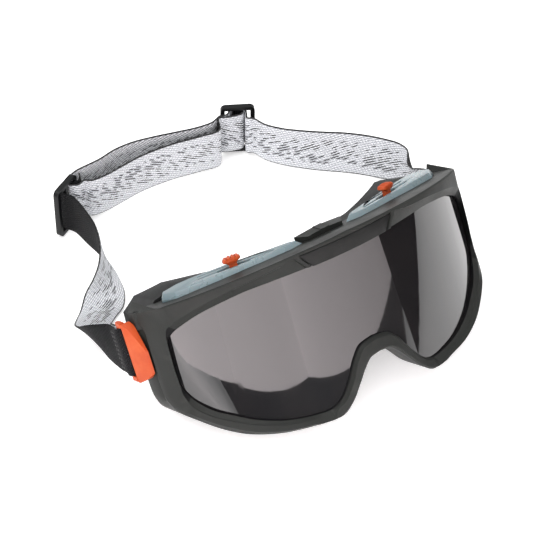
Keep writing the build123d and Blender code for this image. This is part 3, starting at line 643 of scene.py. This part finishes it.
def clip_end(side):
    """The sewn tail, the turn round the clip's bar, and the outer layer behind it."""
    spots = [(-0.68, 8.9), (-0.69, 5.7), (-1.15, 2.7), (-1.95, 0), (-1.35, -1.5), (0, -2.0),
             (1.35, -1.5), (1.95, 0), (1.15, 2.7), (0.69, 5.7), (0.5, 8.9)]
    return [(on_goggles(side * (CLIP_X + x), BAR_Y + y, CLIP_WEB_LOW),
             on_goggles(side * (CLIP_X + x), BAR_Y + y, CLIP_WEB_LOW + WEB_W)) for x, y in spots]


def left_at(along, away):
    return at_slider(LEFT_SLIDER, LEFT_TURN, along, away)


def back_at(along, away):
    return at_slider(BACK_SLIDER, BACK_TURN, along, away)


LEFT_FALL = [
    ((-83.9, -32.0, 11.0), (-87.4, -23.8, 30.6)), ((-82.6, -24.6, 8.0), (-90.0, -18.6, 27.2)),
    ((-78.0, -13.5, 2.6), (-89.6, -11.5, 20.5)), ((-72.0, -4.0, 0.9), (-88.0, -4.8, 15.2)),
    ((-64.5, 1.5, 0.8), (-83.5, 1.5, 10.8)), ((-57.5, 5.6, 0.8), (-77.8, 8.0, 7.6)),
    ((-52.6, 12.4, 0.8), (-72.0, 13.4, 9.8)), ((-50.0, 20.4, 0.8), (-66.2, 15.8, 14.0)),
    ((-48.4, 28.6, 0.9), (-60.2, 20.4, 17.0)), ((-48.6, 35.6, 1.3), (-55.0, 27.6, 20.0)),
    ((-49.2, 42.0, 1.8), (-51.6, 36.6, 22.4)), ((-49.8, 48.6, 2.1), (-50.4, 46.2, 23.4)),
]
LEFT_RUN = [
    (-50.0, 54.4), (-50.3, 57.2), left_at(-3.5, -4.4), left_at(-3.6, -1.6), left_at(-2.9, 1.4),
    left_at(0.0, 2.7), left_at(2.7, 1.4), left_at(3.2, -1.4), left_at(4.9, -4.0), left_at(8.6, -4.8),
    (-37.6, 62.4), (-30.0, 61.9), (-22.0, 62.8), (-10.0, 64.0), (5.0, 63.0), (19.0, 60.2), (29.0, 58.9),
    back_at(-9.0, -4.5), back_at(-4.6, -4.0), back_at(-1.0, -3.2), back_at(1.4, -2.4),
    back_at(2.35, -0.8), back_at(2.25, 0.9), back_at(1.4, 2.2), back_at(0.0, 2.6),
    back_at(-1.4, 2.2), back_at(-2.25, 0.9), back_at(-2.4, -0.5), back_at(-2.7, -1.8),
]
RIGHT_FALL = [
    ((86.4, -31.5, 11.0), (84.0, -23.2, 30.7)), ((89.0, -26.4, 9.0), (83.4, -18.8, 28.2)),
    ((91.8, -20.0, 6.6), (83.4, -15.0, 25.8)), ((93.2, -13.6, 5.2), (84.4, -10.6, 24.6)),
    ((93.8, -7.6, 3.8), (87.6, -6.4, 24.2)), ((92.4, -1.6, 2.8), (91.0, -1.6, 24.1)),
    ((89.2, 3.2, WEB_Z), (90.8, 4.4, 23.7)), ((85.0, 8.0, WEB_Z), (88.0, 9.8, 23.4)),
    ((79.6, 14.8, WEB_Z), (82.6, 17.0, 23.5)), ((73.0, 21.6, WEB_Z), (75.4, 24.2, 23.6)),
    ((66.0, 28.0, WEB_Z), (67.6, 30.4, 23.6)), ((59.2, 34.8, WEB_Z), (60.2, 36.6, 23.7)),
    ((53.2, 42.0, WEB_Z), (53.6, 43.0, 23.75)), ((48.6, 49.8, WEB_Z), (48.7, 50.2, WEB_Z + WEB_W)),
]
RIGHT_RUN = [
    (46.85, 56.8), back_at(3.95, -5.2), back_at(3.9, -2.4), back_at(3.8, 0.6), back_at(3.1, 2.9),
    back_at(1.5, 4.0), back_at(0.0, 4.25), back_at(-1.6, 4.0), back_at(-3.1, 2.9), back_at(-3.85, 0.9),
    back_at(-4.4, -1.2), back_at(-5.7, -2.5), back_at(-8.2, -2.8), (29.5, 65.5), (22.0, 66.2),
    (12.0, 69.0), (2.0, 72.0), (-8.5, 74.4), (-18.0, 74.6), (-27.0, 72.9),
    left_at(12.4, 1.9), left_at(9.2, 2.4), left_at(7.0, 2.5), left_at(5.3, 1.8), left_at(4.85, 0.0),
    left_at(5.3, -1.8), left_at(7.0, -2.5), left_at(9.2, -1.9), left_at(11.6, -0.3),
]


class Strap:
    """A strap's centre surface: a smooth run of lower and upper edges, with its own length."""

    def __init__(self, stations, side):
        rows = np.array([[*low, *high] for low, high in stations]) / MM
        rows = flowing(rows, WEB_STEP)
        low, high = rows[:, :3] * MM, rows[:, 3:] * MM
        middle = (low + high) / 2
        gaps = np.linalg.norm(np.diff(middle, axis=0), axis=1)
        self.u = np.concatenate([[0], np.cumsum(gaps)])
        self.length = float(self.u[-1])
        self.middle = middle
        width = high - low
        self.width = width / np.linalg.norm(width, axis=1)[:, None]
        ahead = np.gradient(middle, self.u, axis=0)
        ahead -= self.width * (ahead * self.width).sum(axis=1)[:, None]
        ahead /= np.linalg.norm(ahead, axis=1)[:, None]
        # towards the wearer
        self.inward = np.cross(ahead, self.width) * (-side)

    def at(self, u, v, out):
        """A point at distance u along, v from the middle of the width, and out from the surface."""
        def pick(field):
            return np.array([np.interp(u, self.u, field[:, k]) for k in range(3)])
        return pick(self.middle) + pick(self.width) * v + pick(self.inward) * out


def build_strap(name, strap, node):
    """The strap as a closed band: white inside, black outside and at its ends."""
    half, thick = WEB_W * MM / 2, WEB_T * MM / 2 - WEB_SKIN * MM
    columns = WEB_COLUMNS
    vs = [half * math.sin(math.pi / 2 * (2 * k / columns - 1)) for k in range(columns + 1)]
    swell = {v: thick * (1 - (abs(v) / half)**WEB_SQUARE)**0.5 for v in vs}
    outline = [(v, swell[v]) for v in vs] + [(v, -swell[v]) for v in reversed(vs[1:-1])]
    verts, uvs, faces, slots = [], [], [], []
    m, last = len(outline), len(strap.u) - 1
    for i in range(last + 1):
        for v, out in outline:
            verts.append(strap.middle[i] + strap.width[i] * v + strap.inward[i] * out)
            uvs.append((strap.u[i], v))
    for i in range(last):
        for k in range(m):
            j = (k + 1) % m
            faces.append((i * m + k, i * m + j, (i + 1) * m + j, (i + 1) * m + k))
            slots.append(0 if k < columns else 1)
    faces += [tuple(range(m)), tuple(last * m + k for k in range(m))]
    slots += [1, 1]
    obj = new_piece(name, verts, faces, (WEB_IN, WEB_OUT), "headband", slots, uvs, smooth=60.0)
    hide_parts(node)
    return obj


strap_l = Strap(clip_end(-1) + edges(LEFT_FALL) + upright(LEFT_RUN), -1)
strap_r = Strap(clip_end(1) + edges(RIGHT_FALL) + upright(RIGHT_RUN), 1)
web_left = build_strap("webbing_left", strap_l, "strap_left")
web_right = build_strap("webbing_right", strap_r, "strap_right")


# ---------------------------------------------------------------- stitching of the sewn ends
# a stitch's length, its half width and half height, and how far its ends sink
STITCH_LONG, STITCH_WIDE, STITCH_TALL, STITCH_SINK = 1.45, 0.26, 0.22, 0.2
STITCH_RINGS, STITCH_SIDES, STITCH_SLANT = 6, 6, 0.12
STITCH_PITCH, STITCH_STEPS = 2.0, 4         # spacing across the webbing, and stitches each side of its middle
LOOP_ROWS = (2.6, 4.6)                      # rows of stitches behind a clip's bar, from the loop's two ends
LEFT_TAIL, RIGHT_TAIL = 9.5, 2.2            # rows of stitches, from the other ends


def stitch(strap, u, v, out, turn):
    """Rings of vertices of one lock stitch, a swollen bar whose ends sink into the webbing."""
    centre = strap.at(u, v, out)
    normal = strap.at(u, v, out + math.copysign(0.001, out)) - centre
    normal /= np.linalg.norm(normal)
    wide = strap.at(u, v + 0.001, out) - centre
    wide /= np.linalg.norm(wide)
    lie = wide * math.cos(turn) + np.cross(wide, normal) * math.sin(turn)
    flat = np.cross(lie, normal)
    verts = []
    for i in range(STITCH_RINGS + 1):
        s = -1 + 2 * i / STITCH_RINGS
        r = max(0.04, math.sqrt(max(0.0, 1 - s**4)))
        for k in range(STITCH_SIDES):
            a = math.tau * k / STITCH_SIDES
            verts.append(centre + lie * (s * STITCH_LONG * MM / 2)
                         + flat * (math.cos(a) * r * STITCH_WIDE * MM)
                         + normal * (math.sin(a) * r * STITCH_TALL - STITCH_SINK * s**4) * MM)
    return verts


def stitch_faces(base):
    n, last = STITCH_SIDES, base + STITCH_RINGS * STITCH_SIDES
    faces = [(row + k, row + (k + 1) % n, row + n + (k + 1) % n, row + n + k)
             for row in range(base, last, n) for k in range(n)]
    return faces + [tuple(base + k for k in reversed(range(n))), tuple(last + k for k in range(n))]


def build_stitches():
    """Rows of stitches across the webbing, on the faces that show and those towards the head."""
    face = WEB_T * MM / 2
    loop = np.array([[*low, *high] for low, high in clip_end(1)])
    loop_length = np.linalg.norm(np.diff((loop[:, :3] + loop[:, 3:]) / 2, axis=0), axis=1).sum()
    rows = []
    for strap in (strap_l, strap_r):
        for back in LOOP_ROWS:
            rows += [(strap, loop_length - back * MM, -face), (strap, back * MM, -face)]
    rows.append((strap_l, strap_l.length - LEFT_TAIL * MM, face))
    rows += [(strap_r, strap_r.length - RIGHT_TAIL * MM, out) for out in (face, -face)]
    verts, faces = [], []
    for strap, u, out in rows:
        for k in range(-STITCH_STEPS, STITCH_STEPS + 1):
            faces += stitch_faces(len(verts))
            verts += stitch(strap, u, k * STITCH_PITCH * MM, out, STITCH_SLANT * (-1) ** k)
    obj = new_piece("sewn_ends", verts, faces, (THREAD,), "headband", smooth=60.0)
    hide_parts("strap_stitching")
    return obj


stitches = build_stitches()


# ---------------------------------------------------------------- vents, knobs, clips and sliders
VENT_FALL, VENT_HEIGHT = math.radians(3.8), 38.6        # the covers' fall to the sides, and their height
SLIDE_X, SLIDE_Y, SLIDE_TURN = 39.0, -79.8, math.radians(22.0)
KNOB_GAP, KNOB_H, KNOB_W, KNOB_L = 1.9, 2.5, 4.0, 7.8   # over the cover, high, across and along
KNOB_NECK, KNOB_FOOT = 2.7, 2.0             # half lengths of its waist and of the stem's top
KNOB_TEETH, TOOTH_STEPS, TOOTH_H, TEETH_BOW = 4, 8, 0.8, 0.45
# the cap's layers across, from each side, and how much each is drawn in
KNOB_LAYERS = ((0.0, 0.8), (0.35, 0.95), (0.9, 1.0))


def slide_frame(side):
    """Axes at a knob: outwards along its slide, back across it, and up, with its place on the cover."""
    across = Vector((math.cos(VENT_FALL), 0, 0)) - AXIS * (side * math.sin(VENT_FALL))
    up = Vector((side * math.sin(VENT_FALL), 0, 0)) + AXIS * math.cos(VENT_FALL)
    along = across * (side * math.cos(SLIDE_TURN)) + BACK * math.sin(SLIDE_TURN)
    rear = up.cross(along) * side
    origin = (FOOT + AXIS * VENT_HEIGHT + across * (side * SLIDE_X) + BACK * SLIDE_Y) * MM
    return origin, along, rear, up


def knob_outline():
    """The cap seen from its side: a waist, rounded flanks, and teeth along a bowed top."""
    half, base, top = KNOB_L / 2, KNOB_GAP, KNOB_GAP + KNOB_H
    flank = [(-KNOB_FOOT, base - 0.5), (-KNOB_NECK, base + 0.25), (-half + 0.5, base + 0.45),
             (-half, base + 0.9), (-half + 0.15, base + 1.4)]
    span, steps = KNOB_L - 0.5, KNOB_TEETH * TOOTH_STEPS
    teeth = []
    for k in range(steps + 1):
        s = k / steps
        swell = abs(math.sin(math.pi * KNOB_TEETH * s))**0.6
        teeth.append((-span / 2 + span * s, top - 0.85 + TOOTH_H * swell - TEETH_BOW * (2 * s - 1)**2))
    return flank + teeth + [(-x, z) for x, z in reversed(flank)]


def build_knob(side, name):
    """A thumb slide: a cap with four rounded teeth across its top, waisted into its stem."""
    origin, along, rear, up = slide_frame(side)
    outline, mid = knob_outline(), KNOB_GAP + KNOB_H / 2
    layers = [(inset - KNOB_W / 2, scale) for inset, scale in KNOB_LAYERS]
    layers += [(-across, scale) for across, scale in reversed(layers)]
    verts = [origin + (along * (x * scale) + rear * across + up * (mid + (z - mid) * scale)) * MM
             for across, scale in layers for x, z in outline]
    n, last = len(outline), len(layers) - 1
    faces = [(i * n + k, i * n + (k + 1) % n, (i + 1) * n + (k + 1) % n, (i + 1) * n + k)
             for i in range(last) for k in range(n)]
    faces += [tuple(range(n)), tuple(last * n + k for k in range(n))]
    knob = new_piece(f"thumb_slide_{name}", verts, faces, (ORANGE,), f"shutter_{name}",
                     smooth=50.0)
    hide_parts(f"vent_knob_{name}")


for vent_side, vent_name in ((1, "right"), (-1, "left")):
    build_knob(vent_side, vent_name)
    softened_copy(f"vent_cover_{vent_name}", f"vent_hood_{vent_name}", SMOKE, "goggles",
                  0.35, 3)
    softened_copy(f"strap_clip_{vent_name}", f"turning_clip_{vent_name}", ORANGE, "headband",
                  0.55, 3)
for slider_name in ("left", "back"):
    softened_copy(f"strap_slider_{slider_name}", f"web_slider_{slider_name}", SLIDER, "headband",
                  0.45, 3)
softened_copy("face_skirt", "soft_skirt", SKIRT, "goggles", 0.5, 3)
softened_copy("brow_plate", "brow_blank", PLATE, "goggles", 0.25)


# ---------------------------------------------------------------- floor, world and lights
SKY_LOW, SKY_TOP = 0.12, 1.15               # the studio is dark round the horizon and bright overhead
SKY_START, SKY_END = -0.05, 0.75            # rise of a direction at which it starts to brighten, and ends
FLOOR_HALF, FLOOR_Z, FLOOR_GLOW = 3.0, -0.0005, 0.35
CARD_TOP, CARD_TINT = 0.30, (1.0, 0.93, 0.94)


def add_floor():
    mesh, half = bpy.data.meshes.new("floor"), FLOOR_HALF
    mesh.from_pydata([(-half, -half, 0), (half, -half, 0), (half, half, 0), (-half, half, 0)], [],
                     [(0, 1, 2, 3)])
    floor = add_object("floor", mesh)
    net = Net("floor_paper", (0.95, 0.95, 0.95), 0.9)
    net.put("Base Color", net.mix(net.ramp(net.noise(3.0), 0.3, 0.7), (0.94, 0.94, 0.94), (0.96, 0.96, 0.96)))
    net.put("Emission Color", (1, 1, 1, 1))
    net.put("Emission Strength", FLOOR_GLOW)
    mesh.materials.append(net.mat)
    floor.location.z = FLOOR_Z


def add_sky():
    world = bpy.data.worlds.new("studio")
    world.use_nodes = True
    tree = world.node_tree
    sky = tree.nodes["Background"]
    place, split = tree.nodes.new("ShaderNodeTexCoord"), tree.nodes.new("ShaderNodeSeparateXYZ")
    rise = tree.nodes.new("ShaderNodeMapRange")
    rise.interpolation_type = "SMOOTHSTEP"
    for socket, value in (("From Min", SKY_START), ("From Max", SKY_END), ("To Min", SKY_LOW),
                          ("To Max", SKY_TOP)):
        rise.inputs[socket].default_value = value
    tree.links.new(place.outputs["Generated"], split.inputs[0])
    tree.links.new(split.outputs["Z"], rise.inputs["Value"])
    tree.links.new(rise.outputs[0], sky.inputs["Strength"])
    sky.inputs["Color"].default_value = (1, 1, 1, 1)
    bpy.context.scene.world = world


def area_light(name, spot, aim, size, power):
    data = bpy.data.lights.new(name, "AREA")
    data.shape, data.size, data.size_y = "RECTANGLE", size, size
    data.energy = power
    light = add_object(name, data)
    light.location = spot
    light.rotation_mode = "QUATERNION"
    light.rotation_quaternion = (Vector(aim) - Vector(spot)).to_track_quat("-Z", "Y")


def card(name, left, right, feet, colour, strengths):
    """A studio card standing between two plan points, seen only in reflections.

    Its lower edge slopes between its two feet, and its glow runs from its left to its right strength.
    """
    mesh = bpy.data.meshes.new(name)
    corners = [(*left, feet[0]), (*right, feet[1]), (*right, CARD_TOP), (*left, CARD_TOP)]
    mesh.from_pydata(corners, [], [(0, 1, 2, 3)])
    obj = add_object(name, mesh)
    net = Net(name, colour, 0.9)
    cloth = net.ramp(net.noise(4.0), 0.3, 0.7, 0.94, 1.06)
    net.put("Base Color", net.mix(cloth, (0, 0, 0), colour))
    net.put("Emission Color", (*colour, 1))
    across = net.add("ShaderNodeSeparateXYZ", i0=net.add("ShaderNodeTexCoord", "Generated"))
    net.put("Emission Strength", net.ramp(across, 0.0, 1.0, *strengths))
    mesh.materials.append(net.mat)
    obj.visible_camera = obj.visible_shadow = False


add_floor()
add_sky()
bpy.context.scene.view_settings.view_transform = "Standard"
# the white cards make the lens's mauve field, over a dark patch low on the left; the black one, its dark side
card("card_left", (-0.50, -0.20), (-0.33, -0.40), (-0.03, 0.035), CARD_TINT, (2.9, 2.3))
card("card_middle", (-0.33, -0.40), (-0.09, -0.52), (0.035, 0.082), CARD_TINT, (2.3, 1.9))
card("card_front", (-0.09, -0.52), (0.33, -0.385), (0.082, 0.055), CARD_TINT, (1.9, 0.4))
card("flag_right", (0.33, -0.385), (0.47, -0.19), (-0.05, -0.05), (0.0, 0.0, 0.0), (0.0, 0.0))
area_light("key", (-0.35, 0.25, 1.2), (0, 0, 0.03), 0.9, 10.0)
area_light("front", (-0.75, -0.75, 0.75), (0, 0, 0.03), 0.5, 3.5)
